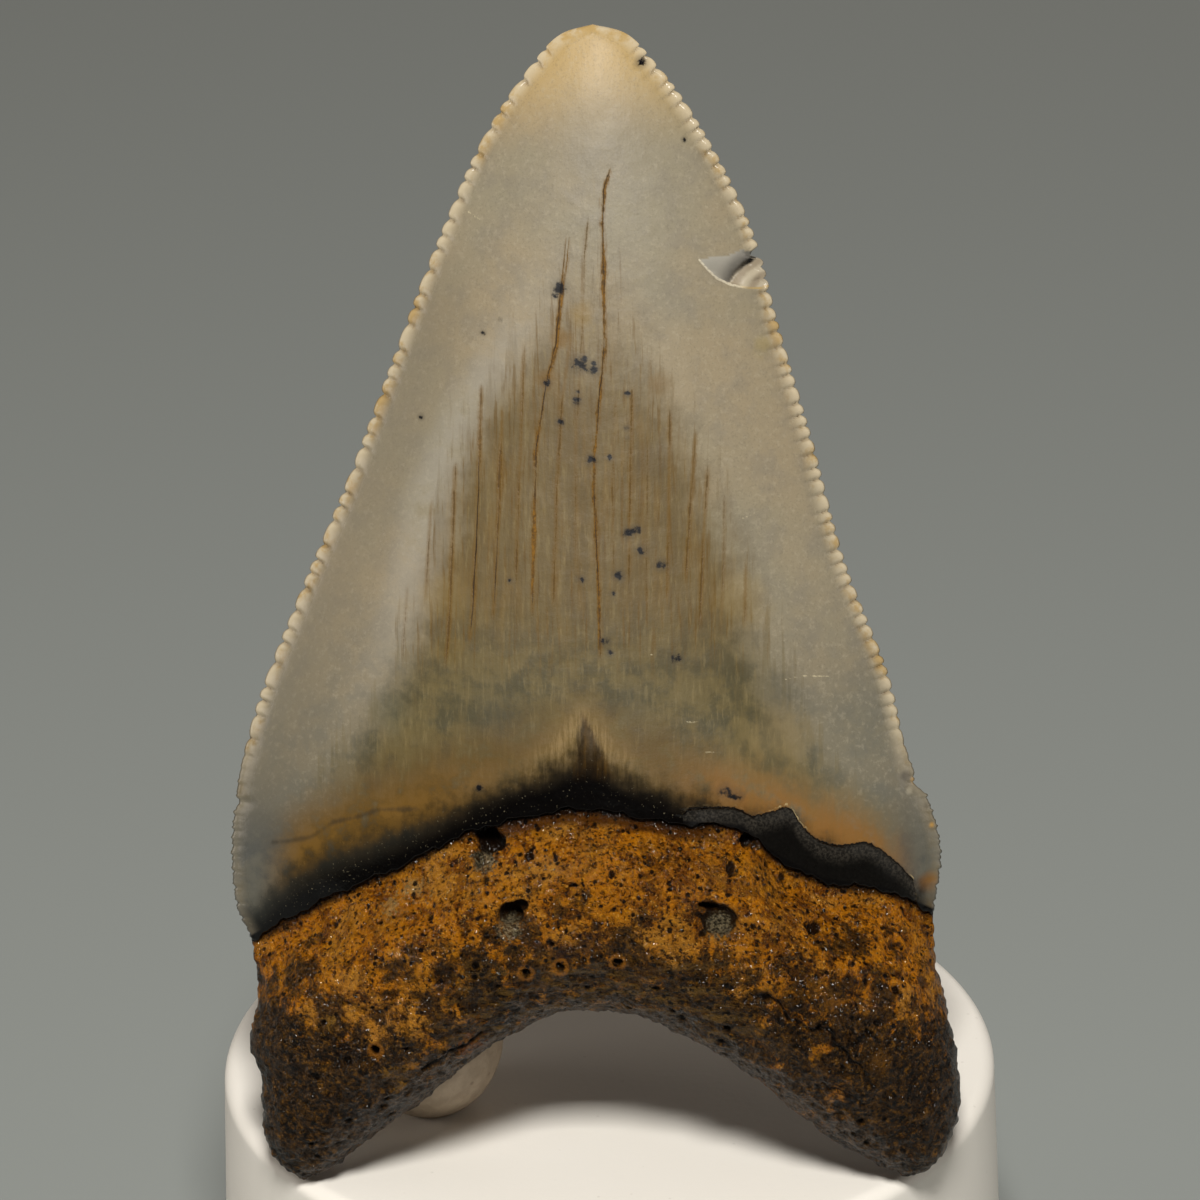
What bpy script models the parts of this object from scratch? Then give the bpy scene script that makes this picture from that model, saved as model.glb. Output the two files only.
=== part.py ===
"""A megalodon tooth leaning back on a lump of putty, on a white round display plinth.

Metres, +Z up. The origin is the centre of the plinth's underside. The tooth's inner
(lingual) face, the one with the bulging root, looks toward -Y.
"""

import math

import bmesh
import bpy
import numpy as np
from mathutils import Matrix, Vector
from mathutils.bvhtree import BVHTree

# Driving dimensions, in metres unless the name says otherwise
MM = 0.001
TOUCH_GAP = 0.3 * MM
PRESSED_GAP = 0.5 * MM

PLINTH_TOP_RADIUS = 25.0 * MM
PLINTH_HEIGHT = 25.0 * MM
PLINTH_DRAFT_DEG = 2.0
PLINTH_RIM_RADIUS = 1.0 * MM
PLINTH_SIDES = 48

TOOTH_LEAN_DEG = 20.0
TOOTH_TURN_DEG = -2.5
TOOTH_FOOT = (-0.25 * MM, -16.6 * MM)

CROWN_FRONT_DEPTH = 6.2
CROWN_BACK_DEPTH = 3.6
ROOT_FRONT_DEPTH = 8.8
ROOT_BACK_DEPTH = 5.0
ENAMEL_STEP = 0.35
LOBE_NOSE_BACK = 1.4
SERRATION_DEPTH = 0.42

PUTTY_CENTRE = (-11.5 * MM, -5.9 * MM, 4.7 * MM)
PUTTY_RADII = (4.9 * MM, 5.4 * MM, 5.4 * MM)

# Outline of the tooth in its own plane, in millimetres: (across, up from the foot).
# Every list runs from the tip down, or from left to right.
LEFT_CROWN_EDGE = (
    (-0.4, 72.4), (-2.2, 71.9), (-4.5, 69.6), (-7.0, 65.9), (-10.1, 59.2), (-13.0, 51.8),
    (-15.9, 44.3), (-19.1, 36.9), (-22.0, 29.3), (-23.1, 24.3), (-23.3, 19.3), (-23.0, 17.3),
    (-22.2, 15.6),
)
RIGHT_CROWN_EDGE = (
    (-0.4, 72.4), (1.5, 71.9), (3.8, 69.6), (7.1, 64.6), (9.6, 59.1), (10.9, 54.1),
    (13.0, 46.8), (15.0, 39.2), (17.8, 31.7), (19.1, 26.4), (20.1, 24.3), (20.9, 20.6),
    (20.6, 18.4), (20.4, 17.2),
)
ENAMEL_LINE = (
    (-22.2, 15.6), (-20.1, 16.9), (-16.4, 19.0), (-12.9, 20.6), (-7.8, 23.2), (-4.4, 24.1),
    (-1.0, 24.6), (2.0, 24.1), (4.5, 23.6), (8.6, 23.1), (10.8, 21.2), (13.6, 19.6),
    (17.2, 18.9), (20.4, 17.2),
)
LEFT_ROOT_EDGE = (
    (-22.2, 15.6), (-21.9, 13.9), (-21.8, 11.4), (-22.3, 9.3), (-21.6, 6.4), (-21.7, 4.3),
    (-21.0, 2.0), (-19.4, 0.9),
)
RIGHT_ROOT_EDGE = (
    (20.4, 17.2), (20.6, 13.7), (21.5, 10.6), (22.1, 6.2), (21.6, 3.2), (20.9, 1.5),
    (19.3, 0.9),
)
ROOT_ARCH = (
    (-19.4, 0.9), (-17.2, 1.6), (-13.1, 3.8), (-9.5, 6.8), (-6.4, 9.4), (-2.8, 11.2),
    (1.6, 11.2), (5.3, 9.6), (9.1, 7.0), (13.2, 3.6), (16.8, 1.8), (19.3, 0.9),
)

# Grid of the tooth's surface. A left serration takes 4 crown rows and a right one 3,
# which gives the two pitches, 1.2 mm and 0.9 mm. Away from the edges every fourth row stays.
CROWN_ROWS = 212
ROOT_ROWS = 24
COLUMNS = 16
LEFT_ROWS_PER_SERRATION = 4
RIGHT_ROWS_PER_SERRATION = 3
FIRST_SERRATED_ROW = 12
FACE_ROW_STEP = 4

# Chip in the right cutting edge, in millimetres: middle height, half height, reach inward,
# bite out of the edge and depth of the scoop
CHIP_UP = 57.4
CHIP_HALF_HEIGHT = 1.1
CHIP_REACH = 4.6
CHIP_NOTCH = 0.5
CHIP_SCOOP = 0.9

# Holes in the root, in millimetres: across, up, width, height and depth
FRONT_PITS = (
    (-6.9, 22.7, 2.0, 1.4, 1.3),
    (-5.5, 18.3, 1.8, 1.0, 1.3),
    (7.3, 18.1, 2.8, 2.4, 1.2),
    (8.9, 22.4, 1.0, 0.9, 0.9),
    (13.0, 17.3, 1.0, 0.9, 0.9),
    (1.0, 15.2, 0.8, 0.8, 0.7),
    (-4.7, 14.5, 0.8, 0.8, 0.7),
    (-14.0, 9.7, 0.8, 0.8, 0.7),
)
BACK_PITS = (
    (-3.0, 16.0, 1.6, 1.2, 1.1),
    (6.5, 15.0, 1.2, 1.0, 1.0),
    (15.5, 9.5, 1.0, 1.0, 0.9),
)


def start_collection(name):
    """A new collection in the scene."""
    collection = bpy.data.collections.new(name)
    bpy.context.scene.collection.children.link(collection)
    return collection


def material(name, colour, roughness):
    """A plain non-metal with one colour, given as linear red, green and blue."""
    made = bpy.data.materials.new(name)
    made.use_nodes = True
    surface = made.node_tree.nodes["Principled BSDF"]
    surface.inputs["Base Color"].default_value = (*colour, 1.0)
    surface.inputs["Roughness"].default_value = roughness
    surface.inputs["Metallic"].default_value = 0.0
    return made


def object_from(name, bm, collection, surface=None):
    """An object holding the bmesh, which is freed."""
    mesh = bpy.data.meshes.new(name)
    bm.to_mesh(mesh)
    bm.free()
    made = bpy.data.objects.new(name, mesh)
    if surface:
        mesh.materials.append(surface)
    collection.objects.link(made)
    return made


def along(points, shares):
    """Points at the given shares of the way along a smooth curve through the given ones."""
    points = np.array(points)
    steps = np.linalg.norm(np.diff(points, axis=0), axis=1)
    knots = np.concatenate([[0.0], np.cumsum(steps)]) / steps.sum()
    slopes = np.gradient(points, knots, axis=0)
    first = np.clip(np.searchsorted(knots, shares, side="right") - 1, 0, len(steps) - 1)
    width = (knots[first + 1] - knots[first])[:, None]
    f = (shares - knots[first])[:, None] / width
    return (
        (2 * f**3 - 3 * f**2 + 1) * points[first]
        + (f**3 - 2 * f**2 + f) * width * slopes[first]
        + (3 * f**2 - 2 * f**3) * points[first + 1]
        + (f**3 - f**2) * width * slopes[first + 1]
    )


def ease(x):
    """0 below 0, 1 above 1, and smooth between."""
    x = np.clip(x, 0.0, 1.0)
    return x * x * (3 - 2 * x)


def serration(rows_each):
    """How far each crown row's edge is cut in: round teeth with narrow notches between."""
    row = np.arange(CROWN_ROWS + 1)
    tooth = (row - FIRST_SERRATED_ROW) / rows_each
    depth = SERRATION_DEPTH * (0.85 + 0.15 * np.sin(2.3 * np.floor(tooth)))
    cut = depth * (1 - np.abs(np.sin(math.pi * tooth)))
    started = row >= FIRST_SERRATED_ROW
    worn = 1 - 0.7 * ease((row / CROWN_ROWS - 0.86) / 0.1)
    return cut * started * worn


def near_chip(up):
    """1 at the height of the chip and 0 away from it."""
    return 1 - ease(np.abs(up - CHIP_UP) / CHIP_HALF_HEIGHT - 0.3)


def crown_plan(side):
    """(across, up) of every crown row and column, with the serrated edges."""
    share = np.linspace(0.0, 1.0, CROWN_ROWS + 1)
    left = along(LEFT_CROWN_EDGE, share)[:, None]
    right = along(RIGHT_CROWN_EDGE, share)[:, None]
    enamel = along(ENAMEL_LINE, side)
    bow = enamel - (1 - side)[:, None] * enamel[0] - side[:, None] * enamel[-1]
    s = side[None, :, None]
    plan = (1 - s) * left + s * right + (share**3)[:, None, None] * bow[None]
    plan[:, 0, 0] += serration(LEFT_ROWS_PER_SERRATION)
    bite = CHIP_NOTCH * near_chip(plan[:, -1, 1])
    plan[:, -1, 0] -= np.maximum(serration(RIGHT_ROWS_PER_SERRATION), bite)
    return plan


def root_plan(side, down):
    """(across, up) of every root row and column, between the enamel line and the arch."""
    top = along(ENAMEL_LINE, side)[None]
    bottom = along(ROOT_ARCH, side)[None]
    left = along(LEFT_ROOT_EDGE, down)[:, None]
    right = along(RIGHT_ROOT_EDGE, down)[:, None]
    s = side[None, :, None]
    d = down[:, None, None]
    corners = (
        (1 - d) * ((1 - s) * top[:, :1] + s * top[:, -1:])
        + d * ((1 - s) * bottom[:, :1] + s * bottom[:, -1:])
    )
    return (1 - d) * top + d * bottom + (1 - s) * left + s * right - corners


def crown_depth(plan, across, base):
    """Depth of one face of the crown: a lens section that thickens away from the tip."""
    tip_up = LEFT_CROWN_EDGE[0][1]
    middle_up = plan[:, plan.shape[1] // 2, 1]
    from_tip = (tip_up - middle_up) / (tip_up - middle_up[-1])
    return base * (from_tip**0.6)[:, None] * (1 - across**2)[None] ** 0.85


def root_depth(across, down, base, crown_foot):
    """Depth of one face of the root: it steps in under the enamel, bulges, and rounds under."""
    lobes = 0.64 + 0.36 * (1 - across**2)
    rounded_side = np.sqrt(1 - np.abs(across) ** 8)
    turns_under = (0.45 + 0.3 * across**2)[None]
    below = np.clip((down[:, None] - turns_under) / (1 - turns_under), 0.0, 1.0)
    body = base * (lobes * rounded_side)[None] * np.sqrt(1 - below**2)
    neck = np.maximum(crown_foot - ENAMEL_STEP, 0.0)[None]
    swell = ease(down / 0.3)[:, None]
    return (1 - swell) * neck + swell * body


def nose_shift(across, down):
    """How far the end of each lobe lies behind the plane of the cutting edges."""
    lobe = ease((np.abs(across) - 0.45) / 0.45)
    return LOBE_NOSE_BACK * lobe[None] * ease((down - 0.4) / 0.6)[:, None]


def tooth_bmesh():
    """The whole tooth as one sheet wrapped round it, closed at the tip and along the arch."""
    step = np.linspace(0.0, 1.0, COLUMNS + 1)
    across = 0.65 * (2 * step - 1) - 0.35 * np.cos(math.pi * step)
    side = (across + 1) / 2
    ledge = 0.012
    down = ledge + (1 - ledge) * np.sin(np.linspace(0.0, math.pi / 2, ROOT_ROWS))
    crown = crown_plan(side)
    root = root_plan(side, down)

    shift = nose_shift(across, down)
    faces = []
    for crown_base, root_base in (
        (CROWN_FRONT_DEPTH, ROOT_FRONT_DEPTH),
        (-CROWN_BACK_DEPTH, -ROOT_BACK_DEPTH),
    ):
        sign = math.copysign(1.0, crown_base)
        crown_out = crown_depth(crown, across, abs(crown_base))
        root_out = root_depth(across, down, abs(root_base), crown_out[-1])
        root_out = root_out * (1 - 0.2 * sign * shift) - sign * shift
        if sign > 0:
            inward = (crown[:, -1:, 0] - crown[..., 0]) / CHIP_REACH
            scoop = CHIP_SCOOP * near_chip(crown[..., 1]) * ease(1 - inward)
            crown_out = np.maximum(crown_out - scoop, np.minimum(crown_out, 0.15))
        faces.append(sign * np.vstack([crown_out, root_out]))
    plan = np.vstack([crown, root])
    front = np.dstack([plan[..., 0], -faces[0], plan[..., 1]])
    back = np.dstack([plan[..., 0], -faces[1], plan[..., 1]])
    wrapped = np.hstack([front, back[:, -2::-1]]) * MM

    rows, columns = wrapped.shape[:2]
    chipped = near_chip(crown[:, -1, 1]) > 0
    bm = bmesh.new()
    bmesh.ops.create_grid(bm, x_segments=columns - 1, y_segments=rows - 1, size=1.0)
    spare = []
    for vertex in bm.verts:
        column = round((vertex.co.x + 1) / 2 * (columns - 1))
        row = round((vertex.co.y + 1) / 2 * (rows - 1))
        vertex.co = wrapped[row, column]
        on_face = column % COLUMNS != 0
        if on_face and row < CROWN_ROWS and row % FACE_ROW_STEP and not chipped[row]:
            spare.append(vertex)
    bmesh.ops.dissolve_verts(bm, verts=spare)
    bmesh.ops.remove_doubles(bm, verts=bm.verts, dist=1e-6)
    bmesh.ops.dissolve_degenerate(bm, edges=bm.edges, dist=1e-6)
    bmesh.ops.triangulate(bm, faces=bm.faces)
    bmesh.ops.recalc_face_normals(bm, faces=bm.faces)
    return bm


def pit_cutter(bm, skin, pit, from_front):
    """Adds one egg-shaped pit, centred on the tooth's skin, to the cutter."""
    across, up, width, height, depth = (value * MM for value in pit)
    outward = Vector((0, -1, 0)) if from_front else Vector((0, 1, 0))
    start = Vector((across, 0, up)) + outward * 30 * MM
    place, normal, _, _ = skin.ray_cast(start, -outward)
    turn = normal.to_track_quat("Z", "X").to_matrix().to_4x4()
    size = Matrix.Diagonal((width / 2, height / 2, depth, 1))
    matrix = Matrix.Translation(place) @ turn @ size
    bmesh.ops.create_icosphere(bm, subdivisions=1, radius=1.0, matrix=matrix)


def make_tooth(parts, cutters):
    """The tooth: crown, dark band and root grew as one, so it is one solid."""
    bm = tooth_bmesh()
    skin = BVHTree.FromBMesh(bm)
    fossil = material("fossil_tooth", (0.27, 0.22, 0.14), 0.4)
    tooth = object_from("megalodon_tooth", bm, parts, fossil)

    bm = bmesh.new()
    for pit in FRONT_PITS:
        pit_cutter(bm, skin, pit, True)
    for pit in BACK_PITS:
        pit_cutter(bm, skin, pit, False)
    pits = object_from("root_pit_cutter", bm, cutters)
    pits.parent = tooth
    pits.hide_render = True
    pits.display_type = "WIRE"
    cut = tooth.modifiers.new("root pits", "BOOLEAN")
    cut.operation = "DIFFERENCE"
    cut.object = pits

    tooth.location = (*TOOTH_FOOT, PLINTH_HEIGHT)
    tooth.rotation_euler = (math.radians(-TOOTH_LEAN_DEG), 0, math.radians(TOOTH_TURN_DEG))
    return tooth, skin


def make_plinth(parts):
    """The turned plinth, slightly wider at the foot, with a rounded rim."""
    drop = PLINTH_HEIGHT - PLINTH_RIM_RADIUS
    foot_radius = PLINTH_TOP_RADIUS + drop * math.tan(math.radians(PLINTH_DRAFT_DEG))
    bm = bmesh.new()
    profile = [(0.0, PLINTH_HEIGHT)]
    for degrees in (90, 60, 30, 0):
        turn = math.radians(degrees)
        profile.append((
            PLINTH_TOP_RADIUS - PLINTH_RIM_RADIUS * (1 - math.cos(turn)),
            PLINTH_HEIGHT - PLINTH_RIM_RADIUS * (1 - math.sin(turn)),
        ))
    profile += [(foot_radius, 0.0), (0.0, 0.0)]
    corners = [bm.verts.new((x, 0, z)) for x, z in profile]
    for upper, lower in zip(corners, corners[1:]):
        bm.edges.new((upper, lower))
    plastic = material("white_plastic", (0.83, 0.78, 0.68), 0.45)
    plinth = object_from("display_plinth", bm, parts, plastic)
    turned = plinth.modifiers.new("turned", "SCREW")
    turned.steps = PLINTH_SIDES
    turned.render_steps = PLINTH_SIDES
    turned.use_merge_vertices = True
    turned.merge_threshold = 1e-5
    return plinth


def make_putty(parts, tooth, skin):
    """The putty lump, pressed flat on the plinth and against the back of the left root lobe."""
    bm = bmesh.new()
    centre = Vector(PUTTY_CENTRE) + Vector((0, 0, PLINTH_HEIGHT))
    bmesh.ops.create_uvsphere(bm, u_segments=24, v_segments=14, radius=1.0)
    bmesh.ops.scale(bm, vec=PUTTY_RADII, verts=bm.verts)
    bmesh.ops.translate(bm, vec=centre, verts=bm.verts)
    lowest = PLINTH_HEIGHT + TOUCH_GAP
    to_world = Matrix.Translation(tooth.location) @ tooth.rotation_euler.to_matrix().to_4x4()
    to_tooth = to_world.inverted()
    toward_face = Vector((0, -1, 0))
    for vertex in bm.verts:
        vertex.co.z = max(vertex.co.z, lowest)
        place = to_tooth @ vertex.co
        touched, _, _, _ = skin.ray_cast(place - toward_face * 40 * MM, toward_face)
        if touched and place.y < touched.y + PRESSED_GAP:
            place.y = touched.y + PRESSED_GAP
            vertex.co = to_world @ place
    bmesh.ops.remove_doubles(bm, verts=bm.verts, dist=2e-5)
    bmesh.ops.recalc_face_normals(bm, faces=bm.faces)
    cream = material("adhesive_putty", (0.55, 0.50, 0.40), 0.6)
    return object_from("support_putty", bm, parts, cream)


def main():
    for old in list(bpy.data.objects):
        bpy.data.objects.remove(old, do_unlink=True)
    parts = start_collection("megalodon tooth on plinth")
    cutters = start_collection("cutters")
    tooth, skin = make_tooth(parts, cutters)
    plinth = make_plinth(parts)
    putty = make_putty(parts, tooth, skin)
    for made in (tooth, plinth, putty):
        made.data.shade_smooth()
        made.data.set_sharp_from_angle(angle=math.radians(35))


main()
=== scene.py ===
"""A fossil megalodon tooth that stands on a white plinth and leans back on a lump of putty."""

import math

import bmesh
import bpy
import numpy as np
from mathutils import Euler, Matrix, Vector, noise
from mathutils.bvhtree import BVHTree


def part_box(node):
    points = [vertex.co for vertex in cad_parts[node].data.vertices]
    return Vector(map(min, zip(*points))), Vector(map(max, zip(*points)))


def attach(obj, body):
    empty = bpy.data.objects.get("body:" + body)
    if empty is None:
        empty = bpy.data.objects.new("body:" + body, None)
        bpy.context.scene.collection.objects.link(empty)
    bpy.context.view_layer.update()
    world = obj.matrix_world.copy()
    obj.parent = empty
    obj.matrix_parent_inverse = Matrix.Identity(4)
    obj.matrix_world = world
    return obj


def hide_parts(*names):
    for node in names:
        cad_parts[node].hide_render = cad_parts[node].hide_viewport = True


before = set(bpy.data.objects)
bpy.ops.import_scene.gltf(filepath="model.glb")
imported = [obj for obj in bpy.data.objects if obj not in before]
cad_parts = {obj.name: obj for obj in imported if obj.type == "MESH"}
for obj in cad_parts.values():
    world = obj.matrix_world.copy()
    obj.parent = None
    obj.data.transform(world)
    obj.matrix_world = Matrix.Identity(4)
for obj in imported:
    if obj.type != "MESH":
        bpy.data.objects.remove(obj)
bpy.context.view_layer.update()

# Display plinth: a plain round riser of white ABS, injection moulded with a slight draft and a
# rounded rim. It stands loose on the floor and the tooth and the putty stand on it.
MM = 0.001
_, plinth_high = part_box("display_plinth")
PLINTH_HEIGHT = plinth_high.z / MM
RIM_RADIUS = 1.0
FOOT_RADIUS = 0.4
DRAFT = math.tan(math.radians(2.0))
TOP_RADIUS = 25.0
FLAT = 0.4  # a narrow flat ring beside each rounding, which keeps the shading crisp
SPIN_STEPS = 180


def linear(colour):
    """The linear colour of an sRGB hex value."""
    parts = [int(colour[i : i + 2], 16) / 255 for i in (1, 3, 5)]
    return (*[c / 12.92 if c < 0.04045 else ((c + 0.055) / 1.055) ** 2.4 for c in parts], 1.0)


def feed(tree, node, links):
    """Gives each socket of a node a value, a hex colour or the node that feeds it."""
    for socket, value in links.items():
        if isinstance(value, bpy.types.Node):
            value = next(out for out in value.outputs if out.enabled)
        if isinstance(value, bpy.types.NodeSocket):
            tree.links.new(value, node.inputs[socket])
        else:
            node.inputs[socket].default_value = linear(value) if isinstance(value, str) else value


def add(tree, kind, links, **settings):
    """Adds a node with its settings and links."""
    made = tree.nodes.new("ShaderNode" + kind)
    for name, value in settings.items():
        setattr(made, name, value)
    feed(tree, made, links)
    return made


def mask(tree, *steps):
    """The product of values and of smooth steps (value, start, end, top); a top left out is 1."""
    product = None
    for step in steps:
        if isinstance(step, tuple):
            value, start, end, *top = step
            step = add(tree, "MapRange", {
                "Value": value, "From Min": start, "From Max": end, "To Max": (*top, 1.0)[0],
            }, interpolation_type="SMOOTHSTEP")
        if product is not None:
            step = add(tree, "Math", {0: product, 1: step}, operation="MULTIPLY")
        product = step
    return product


def lay(tree, colour, tone, *steps):
    """Lays a tone over a colour through the mask of these steps."""
    return add(tree, "Mix", {0: mask(tree, *steps), 6: colour, 7: tone}, data_type="RGBA")


def start_material(name, own=Matrix()):
    """A new material, its tree, its Principled node and the place in millimetres."""
    made = bpy.data.materials.new(name)
    made.use_nodes = True
    tree = made.node_tree
    place = add(tree, "Mapping", {
        "Vector": add(tree, "TexCoord", {}).outputs["Object"], "Location": own.to_translation(),
        "Rotation": own.to_euler(), "Scale": (MM, MM, MM),
    }, vector_type="TEXTURE")
    return made, tree, tree.nodes["Principled BSDF"], place


def finish_piece(name, bm, surface, slot, *nodes):
    """Makes the bmesh a smooth object that rides on the root and stands for CAD nodes."""
    mesh = bpy.data.meshes.new(name)
    bm.to_mesh(mesh)
    bm.free()
    mesh.shade_smooth()
    mesh.materials.append(surface)
    piece = bpy.data.objects.new(name, mesh)
    bpy.context.scene.collection.objects.link(piece)
    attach(piece, "root")
    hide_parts(*nodes)


profile = [(0.0, PLINTH_HEIGHT), (TOP_RADIUS - RIM_RADIUS - FLAT, PLINTH_HEIGHT)]
for turn in np.radians(np.linspace(90, 2, 12)):
    profile.append((
        TOP_RADIUS - RIM_RADIUS * (1 - math.cos(turn)),
        PLINTH_HEIGHT - RIM_RADIUS * (1 - math.sin(turn)),
    ))
foot = TOP_RADIUS + (PLINTH_HEIGHT - RIM_RADIUS) * DRAFT
profile.append((TOP_RADIUS + FLAT * DRAFT, PLINTH_HEIGHT - RIM_RADIUS - FLAT))
profile.append((foot - (FOOT_RADIUS + FLAT) * DRAFT, FOOT_RADIUS + FLAT))
for turn in np.radians(np.linspace(0, 90, 6)):
    profile.append((
        foot - 0.02 - FOOT_RADIUS * (1 - math.cos(turn)),
        FOOT_RADIUS * (1 - math.sin(turn)),
    ))
profile += [(foot - FOOT_RADIUS - FLAT, 0.0), (0.0, 0.0)]
bm = bmesh.new()
corners = [bm.verts.new((x * MM, 0, z * MM)) for x, z in profile]
edges = [bm.edges.new(pair) for pair in zip(corners, corners[1:])]
bmesh.ops.spin(
    bm, geom=corners + edges, cent=(0, 0, 0), axis=(0, 0, 1), angle=math.tau, steps=SPIN_STEPS,
    use_merge=True,
)
bmesh.ops.remove_doubles(bm, verts=bm.verts, dist=1e-6)
bmesh.ops.recalc_face_normals(bm, faces=bm.faces)

# Moulded white ABS: a warm white, satin, with a barely uneven skin and a little dust.
abs_plastic, tree, surface, place = start_material("moulded_white_abs")
cloud = add(tree, "TexNoise", {"Vector": place, "Scale": 0.09, "Detail": 3.0})
grain = add(tree, "TexNoise", {"Vector": place, "Scale": 2.2, "Detail": 4.0})
dust = add(tree, "TexVoronoi", {"Vector": place, "Scale": 0.55})
speck = add(tree, "MapRange", {"Value": dust, "From Min": 0.075, "From Max": 0.03, "To Max": 0.16})
white = lay(tree, "#ebe6dd", "#f0ece5", cloud)
white = lay(tree, white, "#8f8675", speck)
satin = add(tree, "MapRange", {"Value": grain, "To Min": 0.38, "To Max": 0.5})
skin = add(tree, "Bump", {"Height": grain, "Strength": 0.05, "Distance": 0.0002})
feed(tree, surface, {"Base Color": white, "Roughness": satin, "Normal": skin, "IOR": 1.53})
finish_piece("plinth", bm, abs_plastic, "white_plastic", "display_plinth")

# Enamel crown of the tooth: enameloid over dentine, grown as one with the root below it. Its
# inner face looks forward and up; both cutting edges are serrated and the right one is chipped.
# Every outline is in the tooth's own plane, in millimetres: (across, up from the foot).
TOOTH_FOOT, TOOTH_LEAN_DEG, TOOTH_TURN_DEG = (-0.25, -16.6), 20.0, -2.5
TOOTH_PLACE = Matrix.LocRotScale(
    Vector((*TOOTH_FOOT, PLINTH_HEIGHT)) * MM,
    Euler((math.radians(-TOOTH_LEAN_DEG), 0, math.radians(TOOTH_TURN_DEG))),
    Vector((MM, MM, MM)),
)
LEFT_CROWN_EDGE = (
    (-0.4, 72.4), (-2.2, 71.9), (-4.5, 69.6), (-7.0, 65.9), (-10.1, 59.2), (-13.0, 51.8),
    (-15.9, 44.3), (-19.1, 36.9), (-22.0, 29.3), (-23.1, 24.3), (-23.3, 19.3), (-23.0, 17.3),
    (-22.2, 15.6),
)
RIGHT_CROWN_EDGE = (
    (-0.4, 72.4), (1.5, 71.9), (3.8, 69.6), (7.1, 64.6), (9.6, 59.1), (10.9, 54.1),
    (13.0, 46.8), (15.0, 39.2), (17.8, 31.7), (19.1, 26.4), (20.1, 24.3), (20.9, 20.6),
    (20.6, 18.4), (20.4, 17.2),
)
ENAMEL_LINE = (
    (-22.2, 15.6), (-20.1, 16.9), (-16.4, 19.0), (-12.9, 20.6), (-7.8, 23.2), (-4.4, 24.1),
    (-1.0, 24.6), (2.0, 24.1), (4.5, 23.6), (8.6, 23.1), (10.8, 21.2), (13.6, 19.6),
    (17.2, 18.9), (20.4, 17.2),
)
CROWN_ROWS, FRONT_COLUMNS, BACK_COLUMNS = 500, 132, 62
CROWN_FRONT_DEPTH, CROWN_BACK_DEPTH, ENAMEL_STEP = 6.2, 3.6, 0.35
# Serrations: pitches along each whole edge, and the share of it above the first one
SERRATIONS_LEFT, SERRATIONS_RIGHT, FIRST_SERRATION = 53.0, 70.7, 0.0566
# Notches between them: depth, reach inwards, and how far their grooves run left and right
NOTCH_DEPTH, NOTCH_REACH, NOTCH_RUN_LEFT, NOTCH_RUN_RIGHT = 0.36, 0.95, 1.0, 1.25
EDGE_HALF_THICKNESS, EDGE_ROUNDING, GROOVE_SHARE = 0.3, 0.4, 0.68
# Wear of the serrations toward the foot: from which share, over how much, and how far
WORN_FROM, WORN_RUN, WORN_AWAY = 0.765, 0.075, 0.88
# Nicks in the edges: across, up, bite and half height
NICKS = ((-22.9, 24.2, 0.25, 0.6), (19.6, 25.3, 0.4, 0.8), (9.9, 58.3, 0.5, 0.5))
# Border of the chip in the right edge and the crevice in it
CHIP = (
    (6.1, 58.0), (7.1, 58.15), (7.9, 58.2), (8.6, 58.5), (9.3, 58.45), (10.6, 58.5),
    (11.0, 56.5), (10.4, 56.3), (9.8, 56.15), (8.9, 56.2), (8.0, 56.4), (7.2, 56.8), (6.6, 57.4),
)
CREVICE = ((7.95, 56.5), (8.3, 57.1), (8.8, 57.6), (9.3, 57.9), (9.5, 58.1))
# Depths of the chip's left facet, of its right one and that one's dip, and of the crevice
LEFT_FACET, RIGHT_FACET, RIGHT_DIP, CREVICE_DEPTH = 0.62, 0.16, 0.45, 0.25
# Upper border of the broken enamel, of the black band and, on both sides, of the brown heart
FRACTURE = (
    (4.9, 24.0), (5.3, 24.5), (6.7, 24.55), (8.2, 24.5), (9.3, 23.9), (10.5, 24.15),
    (11.5, 24.5), (12.2, 23.2), (13.3, 22.2), (14.6, 21.8), (16.2, 22.0), (17.1, 21.5),
    (18.2, 20.5), (19.2, 19.3), (19.4, 17.6),
)
FLAKE_DEPTH, USUAL_CRACK = 0.22, 0.05
BAND_TOP = (
    (-23.0, 16.8), (-22.2, 17.6), (-20.5, 19.5), (-18.7, 20.9), (-16.3, 22.1), (-13.8, 23.1),
    (-10.6, 24.3), (-7.4, 25.5), (-5.6, 26.2), (-4.2, 26.8), (-2.8, 27.3), (-1.9, 27.7),
    (-1.1, 28.1), (-0.3, 27.8), (0.7, 27.2), (2.4, 26.4), (5.1, 25.4), (9.0, 24.2),
    (12.0, 23.0), (16.0, 21.0), (20.6, 18.2),
)
ZONE_LEFT = (
    (-1.0, 61.5), (-2.5, 58.4), (-3.6, 55.6), (-4.9, 53.2), (-6.1, 51.3), (-7.7, 48.9),
    (-8.9, 46.1), (-9.9, 44.0), (-10.5, 40.9), (-11.3, 38.2), (-12.1, 34.8), (-13.7, 31.7),
    (-15.6, 28.5), (-18.5, 24.0), (-20.0, 20.0),
)
ZONE_RIGHT = (
    (0.7, 63.5), (1.4, 58.3), (2.5, 54.4), (3.8, 50.7), (5.5, 47.9), (6.4, 45.5),
    (7.5, 42.4), (8.7, 39.6), (9.6, 36.8), (10.2, 34.0), (11.6, 30.9), (14.0, 27.1),
    (17.5, 22.0), (19.0, 20.0),
)
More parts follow.
